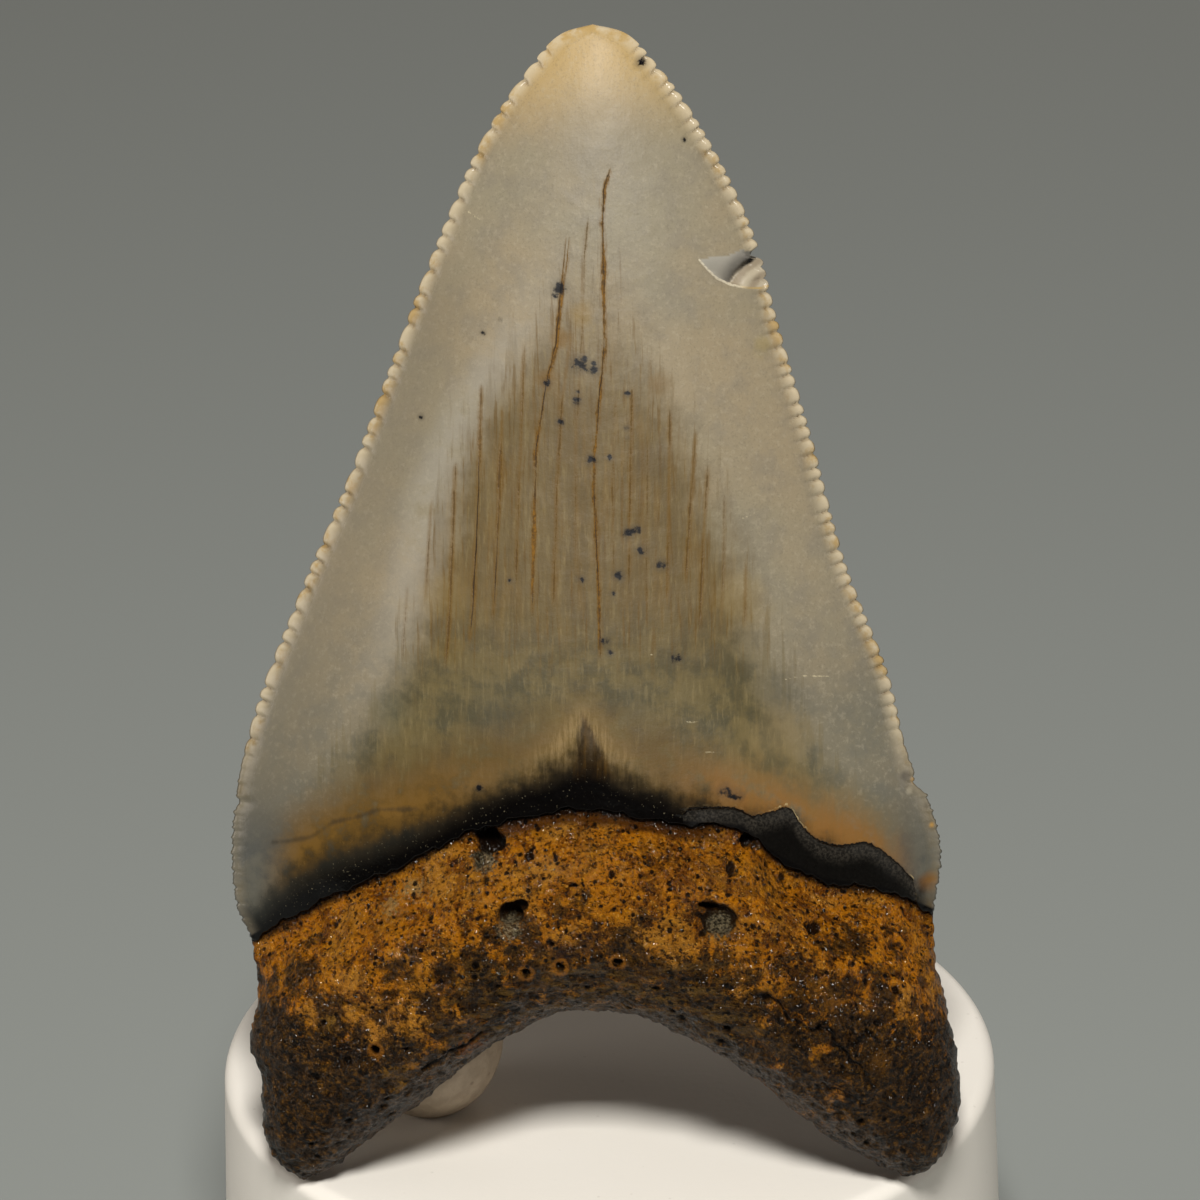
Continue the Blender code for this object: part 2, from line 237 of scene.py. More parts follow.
# Iron-stained cracks from left to right: half width and strength, then points from the top down
CRACKS = (
    (0.03, 0.5, (-11.9, 38.5), (-12.3, 33.0)), (0.03, 0.7, (-10.4, 43.7), (-10.9, 36.5)),
    (0.04, 0.8, (-8.9, 45.8), (-9.3, 36.1), (-9.6, 33.0)),
    (0.05, 1.0, (-7.3, 50.5), (-7.5, 44.0), (-7.8, 37.2), (-8.1, 34.5)),
    (0.05, 0.9, (-6.0, 49.2), (-6.2, 43.0), (-6.6, 36.0)),
    (0.04, 0.6, (-4.6, 53.2), (-4.8, 48.0), (-5.2, 38.0)),
    (
        0.07, 1.0, (-1.9, 59.5), (-2.3, 56.1), (-2.6, 52.9), (-3.3, 50.5), (-3.9, 46.5),
        (-4.1, 41.0), (-4.2, 36.5),
    ),
    (0.04, 0.6, (-1.75, 53.5), (-2.3, 49.2), (-2.6, 44.7), (-2.9, 36.5)),
    (0.04, 0.45, (-0.6, 60.9), (-0.9, 58.4), (-1.1, 53.3), (-1.5, 46.3), (-1.5, 38.0)),
    (
        0.08, 1.0, (0.75, 63.6), (0.3, 62.3), (0.2, 60.2), (0.35, 57.1), (0.3, 52.5),
        (-0.1, 48.6), (-0.35, 45.5), (-0.35, 43.2), (-0.1, 38.5), (0.05, 34.0),
    ),
    (0.03, 0.5, (1.0, 50.0), (0.75, 44.0), (0.9, 37.0)),
    (0.04, 0.6, (2.0, 50.5), (1.9, 46.0), (1.75, 38.0)),
    (0.03, 0.5, (3.1, 52.5), (2.9, 45.0), (2.8, 37.0)),
    (0.04, 0.7, (4.3, 49.0), (4.2, 42.8), (4.1, 36.5)),
    (0.05, 0.8, (5.9, 47.6), (5.5, 42.5), (5.2, 38.0)),
    (0.04, 0.7, (6.6, 45.6), (6.3, 41.0), (6.0, 35.0)),
    (0.03, 0.6, (7.6, 43.8), (7.5, 38.5), (7.3, 34.5)), (0.04, 0.6, (8.9, 39.9), (8.8, 35.0)),
)
# Thin lines that show on the enamel
VEIN = (
    (-20.6, 21.9), (-19.9, 22.0), (-18.1, 22.4), (-16.7, 23.4), (-15.1, 23.8), (-13.8, 24.3),
    (-11.5, 24.4),
)
SCRATCHES = (
    ((11.3, 32.2), (12.6, 32.35), (14.2, 32.2)), ((5.0, 29.8), (6.1, 29.77)),
    ((6.2, 27.9), (7.1, 27.95)), ((2.9, 33.9), (3.6, 34.1)), ((-8.2, 61.0), (-7.4, 60.5)),
    ((8.5, 42.0), (9.8, 42.6)), ((6.5, 30.6), (7.0, 31.3)),
)
# Black mineral spots: across, up and radius
SPOTS = (
    (-1.25, 51.75, 0.38), (-0.95, 52.0, 0.22), (-0.4, 51.4, 0.26), (-0.35, 51.75, 0.15),
    (-1.4, 49.5, 0.22), (-1.35, 50.0, 0.13), (-3.2, 50.6, 0.18), (-2.4, 48.2, 0.18),
    (-0.5, 45.9, 0.24), (0.6, 46.0, 0.16), (1.7, 49.9, 0.15), (1.65, 47.8, 0.13),
    (1.7, 47.2, 0.1), (1.7, 41.4, 0.25), (2.3, 41.6, 0.22), (2.5, 40.3, 0.25), (3.7, 39.4, 0.26),
    (-1.2, 38.6, 0.18), (-5.5, 38.5, 0.15), (1.1, 38.8, 0.24), (0.3, 34.8, 0.22),
    (0.6, 34.1, 0.16), (4.6, 33.7, 0.26), (-2.4, 56.4, 0.32), (-2.7, 55.9, 0.15),
    (-7.2, 53.6, 0.13), (-6.1, 54.4, 0.1), (5.2, 65.3, 0.12), (2.6, 70.1, 0.25),
    (0.75, 37.7, 0.15), (7.6, 25.5, 0.3), (8.3, 25.2, 0.25), (-7.5, 25.8, 0.2),
    (-11.1, 48.4, 0.14),
)


def ease(x):
    """0 below 0, 1 above 1, and smooth between."""
    x = np.clip(x, 0.0, 1.0)
    return x * x * (3 - 2 * x)


def along(points, shares):
    """Points at the given shares of the way along a smooth curve through the given ones."""
    points = np.array(points)
    steps = np.linalg.norm(np.diff(points, axis=0), axis=1)
    knots = np.concatenate([[0.0], np.cumsum(steps)]) / steps.sum()
    slopes = np.gradient(points, knots, axis=0)
    first = np.clip(np.searchsorted(knots, shares, side="right") - 1, 0, len(steps) - 1)
    width = (knots[first + 1] - knots[first])[:, None]
    f = (shares - knots[first])[:, None] / width
    return (
        (2 * f**3 - 3 * f**2 + 1) * points[first]
        + (f**3 - 2 * f**2 + f) * width * slopes[first]
        + (3 * f**2 - 2 * f**3) * points[first + 1]
        + (f**3 - f**2) * width * slopes[first + 1]
    )


def crowded(count):
    """Column places from -1 to 1, closer together near both edges."""
    step = np.linspace(0.0, 1.0, count + 1)
    return 0.35 * (2 * step - 1) - 0.65 * np.cos(math.pi * step)


def height_at(line, across):
    """The height of an outline above or below each place across."""
    return np.interp(across, [x for x, _ in line], [z for _, z in line])


def across_at(line, up):
    """How far across an outline that runs from the top down is at each height."""
    return np.interp(-up, [-z for _, z in line], [x for x, _ in line])


def inside(outline, x, z):
    """True where a point lies inside the outline."""
    found = np.zeros(x.shape, bool)
    for (xa, za), (xb, zb) in zip(outline, outline[1:] + outline[:1]):
        crosses = (za > z) != (zb > z)
        found ^= crosses & (x < (xb - xa) * (z - za) / (zb - za + 1e-12) + xa)
    return found


def distance_to(line, x, z):
    """The distance of each place from a line of points."""
    nearest = np.full(np.shape(x), 9.0)
    for (xa, za), (xb, zb) in zip(line, line[1:]):
        long = (xb - xa) ** 2 + (zb - za) ** 2
        share = np.clip(((x - xa) * (xb - xa) + (z - za) * (zb - za)) / long, 0, 1)
        away = np.hypot(x - xa - share * (xb - xa), z - za - share * (zb - za))
        nearest = np.minimum(nearest, away)
    return nearest


def notch(share, count, uneven):
    """1 in a notch between two serrations and 0 on the middle of a serration."""
    tooth = (share - FIRST_SERRATION) * count
    tooth = tooth + uneven * np.sin(1.7 * tooth) + 0.6 * uneven * np.sin(0.61 * tooth + 1)
    depth = 0.78 + 0.22 * np.sin(2.3 * np.floor(tooth))
    started = ease(tooth / 0.6 + 1)
    return depth * (1 - np.abs(np.sin(math.pi * tooth))) ** 1.6 * started


def crown_sheet(columns, sign):
    """Points and marks of one face of the crown, as a dict of row by column arrays."""
    share = np.linspace(0.0, 1.0, CROWN_ROWS + 1)
    wide = crowded(columns)
    side = (wide + 1) / 2
    left = along(LEFT_CROWN_EDGE, share)[:, None]
    right = along(RIGHT_CROWN_EDGE, share)[:, None]
    enamel = along(ENAMEL_LINE, side)
    bow = enamel - (1 - side)[:, None] * enamel[0] - side[:, None] * enamel[-1]
    s = side[None, :, None]
    plan = (1 - s) * left + s * right + (share**3)[:, None, None] * bow[None]

    up = plan[..., 1]
    cut, groove, from_edge = np.zeros(up.shape), np.zeros(up.shape), np.full(up.shape, 99.0)
    for edge, count, run, uneven, way in (
        (left, SERRATIONS_LEFT, NOTCH_RUN_LEFT, 0.2, 1),
        (right, SERRATIONS_RIGHT, NOTCH_RUN_RIGHT, 0.14, -1),
    ):
        step = np.gradient(edge, axis=0)
        length = np.linalg.norm(step, axis=2).sum()
        step = step / np.linalg.norm(step, axis=2)[..., None]
        inward = plan - edge
        nearest = share[:, None] + (inward * step).sum(2) / length
        distance = np.abs(inward[..., 0] * step[..., 1] - inward[..., 1] * step[..., 0])
        worn = 1 - WORN_AWAY * ease((nearest - WORN_FROM) / WORN_RUN)
        here = notch(nearest, count, uneven) * worn
        cut += way * NOTCH_DEPTH * here * (1 - ease(distance / NOTCH_REACH))
        groove = np.maximum(groove, here * (1 - ease((distance - 0.15) / run)))
        from_edge = np.minimum(from_edge, distance)
    for x, z, reach, half in NICKS:
        bite = reach * (1 - ease(np.abs(up - z) / half))
        cut -= math.copysign(1, x) * bite * (1 - ease(np.abs(plan[..., 0] - x) / 1.6))
    chipped_foot = ease((share - 0.8) / 0.08)[:, None] * (1 - ease(from_edge / 0.8))
    wear = np.sin(7.1 * up) + np.sin(12.7 * up + 1) + np.sin(19.3 * up + 2)
    cut -= 0.04 * np.sign(plan[..., 0]) * wear * chipped_foot
    x, z = plan[..., 0] + cut, up
    uneven = np.sin(2.1 * x) + 0.7 * np.sin(5.3 * x + 1) + 0.6 * np.sin(9.7 * x + 2)
    z = z + 0.11 * uneven * ease((share - 0.965) / 0.035)[:, None]

    base = CROWN_FRONT_DEPTH if sign > 0 else CROWN_BACK_DEPTH
    tip_up = LEFT_CROWN_EDGE[0][1]
    middle = z[:, columns // 2]
    from_tip = (tip_up - middle) / (tip_up - middle[-1])
    lens = base * (from_tip**0.6)[:, None] * (1 - wide**2)[None] ** 0.85
    round_edge = np.sqrt(1 - (1 - np.clip(from_edge / EDGE_ROUNDING, 0, 1)) ** 2)
    out = np.maximum(lens, EDGE_HALF_THICKNESS * round_edge * ease(from_tip * 12)[:, None])
    out = out * (1 - GROOVE_SHARE * groove)

    broken = (x > FRACTURE[0][0]) & (x < FRACTURE[-1][0])
    marks = {
        "edge": from_edge, "groove": groove,
        "zone": np.minimum(x - across_at(ZONE_LEFT, z), across_at(ZONE_RIGHT, z) - x),
        "band": z - height_at(BAND_TOP, x),
        "bare": np.where(broken, height_at(FRACTURE, x) - z, -5.0),
        "foot": z - height_at(ENAMEL_LINE, x),
    }
    places = np.array([across_at(points[2:], z) for points in CRACKS])
    order = (places <= x).sum(0)
    low = np.take_along_axis(places, np.clip(order - 1, 0, len(CRACKS) - 1)[None], 0)[0]
    high = np.take_along_axis(places, np.clip(order, 0, len(CRACKS) - 1)[None], 0)[0]
    low = np.where(order == 0, high - 1.5, low)
    high = np.where(order == len(CRACKS), low + 1.5, high)
    gap = np.maximum(high - low, 0.05)
    part = np.where(order == 0, np.maximum((x - low) / gap, 0.5), np.minimum((x - low) / gap, 1.0))
    part = np.where(order == len(CRACKS), np.minimum(part, 0.5), part)
    marks["crack"] = order + part
    marks["gap"] = gap
    nearest = np.clip(order - (part < 0.5), 0, len(CRACKS) - 1)
    shown = np.array([
        strength * width / USUAL_CRACK
        * ease((top[1] - z) / 1.5 + 0.3) * ease((z - low_end[1]) / 2.5 + 0.3)
        for width, strength, top, *_, low_end in CRACKS
    ])
    marks["stain"] = np.take_along_axis(shown, nearest[None], 0)[0]
    spot = np.full(x.shape, 9.0)
    for sx, sz, radius in SPOTS:
        spot = np.minimum(spot, np.hypot(x - sx, z - sz) / radius)
    marks["spot"] = np.minimum(spot, 4.0)
    marks["vein"] = distance_to(VEIN, x, z)
    marks["scratch"] = np.min([distance_to(line, x, z) for line in SCRATCHES], axis=0)
    marks["crevice"] = distance_to(CREVICE, x, z)
    marks["border"] = distance_to(CHIP[7:] + CHIP[:1], x, z)
    marks["chip"] = np.zeros(x.shape)
    marks["facet"] = np.zeros(x.shape)
    if sign > 0:
        chipped = inside(CHIP, x, z)
        above = z - height_at(CREVICE, x)
        above = np.where(x < CREVICE[0][0], 1.0, above)
        below_top = height_at(CHIP[:5], x) - z
        left_facet = LEFT_FACET * ease(below_top / 2.0)
        right_facet = RIGHT_FACET + RIGHT_DIP * ease(1 - marks["crevice"] / 0.9)
        scoop = np.where(above > 0, left_facet, right_facet) * chipped
        scoop = scoop + CREVICE_DEPTH * ease(1 - marks["crevice"] / 0.16) * chipped
        out = np.maximum(out - scoop, np.minimum(out, 0.12))
        marks["chip"] = chipped.astype(float)
        marks["facet"] = np.clip(0.5 - above / 0.12, 0, 1)
        flake = FLAKE_DEPTH * ease(marks["bare"] / 0.18)
        out = np.maximum(out - flake, np.minimum(out, 0.1))
    return np.dstack([x, -sign * out, z]), marks


def wrap(front, back):
    """Joins two sheets, each points and marks, to one that runs round the front, then the back."""
    (points, marks), (back_points, back_marks) = front, back
    marks = {name: np.hstack([marks[name], back_marks[name][:, -2::-1]]) for name in marks}
    return np.hstack([points, back_points[:, -2::-1]]), marks


def sheet_bmesh(points, marks):
    """A bmesh grid with these points and, as layers, these marks."""
    rows, columns = points.shape[:2]
    bm = bmesh.new()
    layers = {name: bm.verts.layers.float.new(name) for name in marks}
    bmesh.ops.create_grid(bm, x_segments=columns - 1, y_segments=rows - 1, size=1.0)
    for vertex in bm.verts:
        column = round((vertex.co.x + 1) / 2 * (columns - 1))
        row = round((vertex.co.y + 1) / 2 * (rows - 1))
        vertex.co = points[row, column]
        for name, layer in layers.items():
            vertex[layer] = marks[name][row, column]
    return bm


def close_sheet(bm):
    """Joins the sheet's touching borders, caps what stays open and turns the faces outwards."""
    bmesh.ops.remove_doubles(bm, verts=bm.verts, dist=1e-4)
    bmesh.ops.dissolve_degenerate(bm, edges=bm.edges, dist=1e-5)
    border = [edge for edge in bm.edges if edge.is_boundary]
    bmesh.ops.holes_fill(bm, edges=border, sides=0)
    bmesh.ops.triangulate(bm, faces=[face for face in bm.faces if len(face.verts) > 4])
    bmesh.ops.recalc_face_normals(bm, faces=bm.faces)


def sunk_rows(points, marks, steps):
    """Adds rows below the sheet: each goes down and keeps a share of the depth."""
    for down, share in steps:
        row = points[-1:].copy()
        row[..., 2] -= down
        row[..., 1] *= share
        points = np.vstack([points, row])
        marks = {name: np.vstack([mark, mark[-1:]]) for name, mark in marks.items()}
    return points, marks


front, back = crown_sheet(FRONT_COLUMNS, 1), crown_sheet(BACK_COLUMNS, -1)
crown_foot = {1: front[0][-1], -1: back[0][-1]}
points, marks = sunk_rows(*wrap(front, back), ((0.05, 0.94), (0.1, 0.8)))
bm = sheet_bmesh(points, marks)
close_sheet(bm)
for vertex in bm.verts:
    place = vertex.co
    swell = 0.05 * noise.noise(place * 0.35) + 0.012 * noise.noise(place * 1.3)
    vertex.co.y += math.copysign(swell, -place.y) * min(1.0, abs(place.y) / 0.6)
bmesh.ops.transform(bm, matrix=TOOTH_PLACE, verts=bm.verts)


def total(tree, start, *terms):
    """A start value plus terms, each a value and its share."""
    for value, share in terms:
        start = add(tree, "Math", {0: value, 1: share, 2: start}, operation="MULTIPLY_ADD")
    return start


def away_from(tree, value, middle):
    """How far a value is from a middle one."""
    value = add(tree, "Math", {0: value, 1: middle}, operation="SUBTRACT")
    return add(tree, "Math", {0: value}, operation="ABSOLUTE")


# Fossil enamel, polished by wear: grey to cream, glossy, with a brown-streaked heart where the
# dentine shows through, iron-stained cracks, black mineral spots and a black band at its foot.
enamel, tree, surface, place = start_material("fossil_enamel", TOOTH_PLACE)
across, depth, up = add(tree, "SeparateXYZ", {"Vector": place}).outputs
mark = {name: add(tree, "Attribute", {}, attribute_name=name).outputs["Fac"] for name in marks}
is_front = add(tree, "MapRange", {"Value": depth, "From Min": 0.15, "From Max": -0.25})
cloud = add(tree, "TexNoise", {"Vector": place, "Scale": 0.11, "Detail": 3.0})
mottle = add(tree, "TexNoise", {"Vector": place, "Scale": 0.55, "Detail": 5.0, "Roughness": 0.6})
fine = add(tree, "TexNoise", {"Vector": place, "Scale": 3.0, "Detail": 5.0, "Roughness": 0.65})
upright = add(tree, "Mapping", {"Vector": place, "Scale": (1.0, 0.3, 0.055)})
streak = add(tree, "TexNoise", {"Vector": upright, "Scale": 1.5, "Detail": 6.0, "Roughness": 0.65})
thread = add(tree, "TexNoise", {"Vector": upright, "Scale": 4.2, "Detail": 3.0, "Roughness": 0.6})
shorter = add(tree, "Mapping", {"Vector": place, "Scale": (1.0, 0.3, 0.16)})
fibre = add(tree, "TexNoise", {"Vector": shorter, "Scale": 4.5, "Detail": 4.0, "Roughness": 0.65})
patchy = add(tree, "TexNoise", {"Vector": shorter, "Scale": 1.4, "Detail": 4.0, "Roughness": 0.6})
speckle = add(tree, "TexNoise", {"Vector": place, "Scale": 6.5, "Detail": 2.0, "Roughness": 0.7})
# Grey-cream flanks, warmer toward the tip, cooler and darker toward the base
colour = lay(tree, "#857d69", "#8d8068", (cloud, 0.35, 0.65))
colour = lay(tree, colour, "#787164", (mottle, 0.4, 0.7, 0.5))
# The warmer, lighter tip is partly the enamel's cream and partly painted light, where the tip
# faces the lamp
colour = lay(tree, colour, "#ad9363", (up, 64.0, 71.0, 0.9))
cool = lay(tree, "#5f5c50", "#52544d", (mottle, 0.4, 0.62))
colour = lay(tree, colour, cool, (up, 42.0, 24.0, 0.65))
colour = lay(tree, colour, "#a99f89", (fine, 0.5, 0.7, 0.25))
colour = lay(tree, colour, "#5a5344", (speckle, 0.5, 0.3, 0.22))
edging = mask(tree, (mark["edge"], 6.0, 1.5, 0.45), (across, -4.0, -10.0), (up, 62.0, 54.0))
colour = lay(tree, colour, "#675f4e", edging)
aside = away_from(tree, across, -1.0)
cool = lay(tree, "#3f4343", "#56554d", (mottle, 0.4, 0.6))
colour = lay(tree, colour, cool, (up, 28.0, 20.0, 0.85), (aside, 15.5, 20.0))
# Painted sheen: a pale haze along the left side of the heart stands for a soft reflection of light
# on the flank
colour = lay(
    tree, colour, "#9b968b", (mark["zone"], -3.0, -0.3), (mark["zone"], 2.5, 0.2),
    (up, 60.0, 50.0, 0.55), (up, 27.0, 40.0), (across, 2.0, -3.0), (mottle, 0.2, 0.55),
)
# Brown heart: a soft tone and, over it, streaks that each start at their own height
soft = mask(tree, (total(tree, -2.0, (mottle, 4.0), (mark["zone"], 1.0)), -1.4, 3.0))
feather = total(tree, -5.0, (streak, 10.0), (mark["zone"], 1.0))
feather = mask(tree, (feather, -0.8, 1.2), (up, 62.0, 54.0))
brown = lay(tree, "#645433", "#524223", (streak, 0.36, 0.62, 0.7))
brown = lay(tree, brown, "#6a5121", (patchy, 0.45, 0.7, 0.5))
olive = lay(tree, "#5f5332", "#464029", (mottle, 0.4, 0.6))
olive = lay(tree, olive, "#6c5c36", (patchy, 0.5, 0.7, 0.4))
brown = lay(tree, brown, olive, (up, 38.5, 31.5))
heart = add(tree, "Math", {
    0: mask(tree, soft, (up, 63.0, 46.0, 0.92)), 1: mask(tree, feather, (up, 62.0, 46.0, 0.5)),
}, operation="MAXIMUM")
colour = lay(tree, colour, brown, heart, (up, 21.0, 28.0))
colour = lay(tree, colour, "#5c4314", (thread, 0.53, 0.68, 0.6), feather, (up, 31.0, 36.0))
colour = lay(tree, colour, "#453a26", (fibre, 0.5, 0.7, 0.25), soft)
colour = lay(tree, colour, "#8d7d57", (fibre, 0.48, 0.3, 0.25), soft)
# Smudges and stains: across, up, radius, strength and colour
flat = add(tree, "VectorMath", {0: place, 1: (1.0, 0.0, 1.0)}, operation="MULTIPLY")
for x, z, radius, strength, tone in (
    (-14.15, 25.8, 0.9, 0.45, "#3e3d37"), (-6.3, 30.0, 3.0, 0.3, "#46453b"),
    (10.9, 28.8, 2.6, 0.35, "#8a7855"), (8.6, 37.2, 2.4, 0.3, "#8a7446"),
    (20.2, 19.2, 1.0, 0.85, "#6d450e"), (7.5, 25.7, 0.8, 0.7, "#242019"),
    (-3.3, 50.9, 0.8, 0.6, "#67490f"), (-9.5, 37.5, 2.0, 0.3, "#857044"),
    (1.9, 31.0, 1.6, 0.3, "#4a493e"), (11.0, 31.5, 2.0, 0.3, "#4f4e45"),
    (3.6, 50.5, 1.0, 0.4, "#6a4f22"), (-13.0, 30.5, 1.8, 0.35, "#50503f"),
    (-2.4, 53.3, 0.9, 0.6, "#6b4c10"), (-1.2, 54.8, 1.1, 0.4, "#7d6224"),
    (18.7, 25.8, 0.45, 0.8, "#2e2a24"), (19.3, 25.5, 0.35, 0.8, "#a67a30"),
    (18.9, 24.9, 0.3, 0.4, "#aaa28e"), (20.0, 23.9, 0.3, 0.7, "#3e3a32"),
    (20.3, 22.7, 0.3, 0.7, "#b08334"), (10.7, 26.5, 0.5, 0.45, "#4c493c"),
    (0.4, 65.6, 4.5, 0.3, "#6f6654"), (-1.0, 48.0, 3.4, 0.35, "#5a4a2c"),
    (3.3, 45.8, 1.6, 0.35, "#4f4330"), (10.0, 52.6, 0.9, 0.3, "#8f7d3c"),
    (-9.3, 34.6, 1.3, 0.3, "#6d561f"), (1.6, 38.9, 2.2, 0.3, "#57492d"),
):
    away = add(tree, "VectorMath", {0: flat, 1: (x, 0.0, z)}, operation="DISTANCE")
    away = total(tree, -0.6 * radius, (mottle, 1.2 * radius), (away, 1.0))
    colour = lay(tree, colour, tone, (away, radius, 0.2 * radius, strength), is_front)
# Ochre glow above the black band, and the band's own smoky grey to black
torn = mask(tree, total(tree, -2.3, (mottle, 3.4), (streak, 1.2)), (mark["band"], -2.5, 0.5))
band = total(tree, torn, (mark["band"], 1.0))
ember = lay(tree, "#73562a", "#83592a", patchy)
ember = lay(tree, "#685a36", ember, (band, 4.8, 0.9))
umber = lay(tree, "#4f3a12", "#664a1a", (mottle, 0.35, 0.6))
ember = lay(tree, umber, ember, (across, 3.0, 9.0))
outer = total(tree, 0.6, (mask(tree, (away_from(tree, across, -1.1), 3.0, 10.0)), 0.4))
glow = mask(tree, (band, 5.5, 0.8), (mottle, 0.2, 0.5), (aside, 21.0, 17.5))
colour = lay(tree, colour, ember, glow, outer)
# A pale flare that opens downwards, with a dark brown core like a spearhead
middle = away_from(tree, across, -1.15)
flare = total(tree, -24.6, (up, 0.75), (middle, 1.0), (patchy, 2.4))
sand = lay(tree, "#6f5a30", "#927a50", (fibre, 0.4, 0.62))
colour = lay(tree, colour, sand, (flare, 1.6, -1.2, 0.65), (up, 31.9, 30.0))
vein = total(tree, -0.2, (mark["vein"], 1.0), (patchy, 0.5))
colour = lay(tree, colour, "#23211b", (vein, 0.3, 0.0, 0.55), is_front)
leftward = mask(tree, (across, -7.0, -13.0, 0.7))
smoke = lay(tree, "#1f1c17", "#222421", leftward)
colour = lay(tree, colour, smoke, (band, 1.2, -1.2, 0.93))
colour = lay(tree, colour, "#040303", (total(tree, band, (leftward, 1.0)), 0.3, -1.7))
core = add(tree, "Math", {0: total(tree, -4.35, (up, 0.18), (across, 1.0))}, operation="ABSOLUTE")
core = total(tree, -8.9, (up, 0.28), (core, 1.0), (fibre, 0.7))
spear = lay(tree, "#1c1207", "#4f3711", (patchy, 0.42, 0.62))
colour = lay(tree, colour, spear, (core, 0.3, -0.2, 0.8), (up, 26.0, 27.6), (up, 30.8, 30.2))
# Painted glints: sparse pale specks in the black band stand for small sparkles of light
colour = lay(tree, colour, "#6b6450", (speckle, 0.66, 0.72, 0.7), (mark["band"], 0.0, -0.8))
# Cream serrations, some of them honey-coloured, with brown grooves between them; the grooves'
# brown is partly their own colour and partly painted shade in the notches
cream = lay(tree, "#bfb196", "#a98a50", (mottle, 0.48, 0.62, 0.85))
worn = total(tree, 0.2, (mask(tree, (up, 25.5, 30.0)), 0.8))
colour = lay(tree, colour, cream, (mark["edge"], 1.1, 0.1, 0.8), worn)
colour = lay(tree, colour, "#5c4728", (mark["groove"], 0.2, 0.75, 0.65), is_front)
# Cracks: distance from the nearest one in millimetres against its own uneven width
turn = add(tree, "Math", {0: total(tree, 0.5, (mark["crack"], 1.0))}, operation="FRACT")
shown = mask(tree, mark["stain"], is_front)
reach = total(tree, -0.25, (fibre, 0.3), (patchy, 0.3))
away = total(tree, -0.09, (fine, 0.18), (away_from(tree, turn, 0.5), mark["gap"]))
away = total(tree, away, (mask(tree, shown, reach), -1.0))
colour = lay(tree, colour, "#644812", (away, 0.2, -0.02, 0.6), (shown, 0.08, 0.6))
broken = add(tree, "Math", {
    0: mask(tree, (patchy, 0.42, 0.58, 0.7)), 1: mask(tree, (shown, 0.9, 1.4, 0.9)),
}, operation="MAXIMUM")
crack = mask(tree, (away, 0.03, -0.04), (shown, 0.05, 0.4), broken)
iron = lay(tree, "#4c340a", "#7a5410", (fine, 0.36, 0.62))
iron = lay(tree, "#48330c", iron, (shown, 0.7, 1.3))
colour = lay(tree, colour, iron, crack)
# A thin open fissure that keeps to one side of the stronger ones
fissure = total(tree, -0.15, (patchy, 0.3), (total(tree, -0.5, (turn, 1.0)), mark["gap"]))
fissure = away_from(tree, fissure, 0.0)
colour = lay(
    tree, colour, "#1d1408", (fissure, 0.05, 0.015, 0.85), (shown, 0.7, 1.0), (streak, 0.4, 0.55),
)
# Black mineral spots with ragged, smoky outlines, and pale scratches
haze = total(tree, -1.0, (mottle, 2.0), (mark["spot"], 1.0))
colour = lay(tree, colour, "#34302a", (haze, 2.6, 0.8, 0.35), is_front)
spot = total(tree, -1.5, (fine, 3.0), (mark["spot"], 1.0))
colour = lay(tree, colour, "#09080b", (spot, 1.3, 0.6), is_front)
scratch = mask(tree, (mark["scratch"], 0.07, 0.02, 0.6), (fine, 0.4, 0.6))
colour = lay(tree, colour, "#c9bd9c", scratch, is_front)
# Chip: a smooth grey facet that darkens toward the crevice in painted shade, a dark crevice, a
# shell-like beige facet and a pale border
shell = mask(tree, total(tree, mottle, (mark["crevice"], 1.0)), 6.0)
shell = add(tree, "Math", {0: shell}, operation="SINE")
grey = lay(tree, "#98948a", "#56534e", (mark["crevice"], 1.2, 0.15))
grey = lay(tree, grey, "#8e897f", (mottle, 0.3, 0.7, 0.4))
beige = lay(tree, "#8b7f6c", "#b3a994", (shell, -1.0, 1.0, 0.7))
chip = lay(tree, grey, beige, mark["facet"])
rift = total(tree, -0.1, (fine, 0.2), (mark["crevice"], 1.0))
chip = lay(tree, chip, "#0b0a09", (rift, 0.24, 0.05), (across, 7.8, 9.2))
colour = lay(tree, colour, chip, mark["chip"])
border = lay(tree, "#c9c0aa", "#ab8f55", (across, 8.4, 9.2))
colour = lay(tree, colour, border, (mark["border"], 0.08, 0.03, 0.8), is_front)
# Bare layer under the broken enamel, matt charcoal, black toward the root
torn_edge = total(tree, -0.25, (fine, 0.5), (mark["bare"], 1.0))
bare = mask(tree, (torn_edge, 0.0, 0.1), is_front)
matt = lay(tree, "#171512", "#35312b", (speckle, 0.4, 0.65))
matt = lay(tree, matt, "#050403", (mark["bare"], 0.4, 1.5, 0.95))
colour = lay(tree, colour, matt, bare)
# Painted highlight: a thin cream line along the torn enamel edge, where the edge catches the light
pale = add(tree, "Math", {
    0: mask(tree, (away_from(tree, across, 11.4), 1.5, 0.8)), 1: mask(tree, (across, 18.6, 19.2)),
}, operation="MAXIMUM")
pale = add(tree, "Math", {0: pale, 1: 0.08}, operation="MAXIMUM")
lip = mask(tree, (away_from(tree, torn_edge, -0.12), 0.1, 0.03), (fine, 0.42, 0.6, 0.8))
colour = lay(tree, colour, "#a8956c", lip, pale, is_front)
colour = lay(tree, colour, "#030202", (away_from(tree, torn_edge, 0.02), 0.09, 0.03), is_front)
colour = lay(tree, colour, "#030202", (mark["foot"], 0.35, 0.12))
rough = total(
    tree, 0.38, (fine, 0.14), (mask(tree, (mark["edge"], 1.4, 0.8)), -0.22),
    (mask(tree, (band, 1.0, -0.6)), -0.28), (bare, 0.12), (crack, 0.3),
)
height = total(tree, 0.0, (mottle, 0.35), (fine, 0.22), (fibre, 0.1), (crack, -0.5))
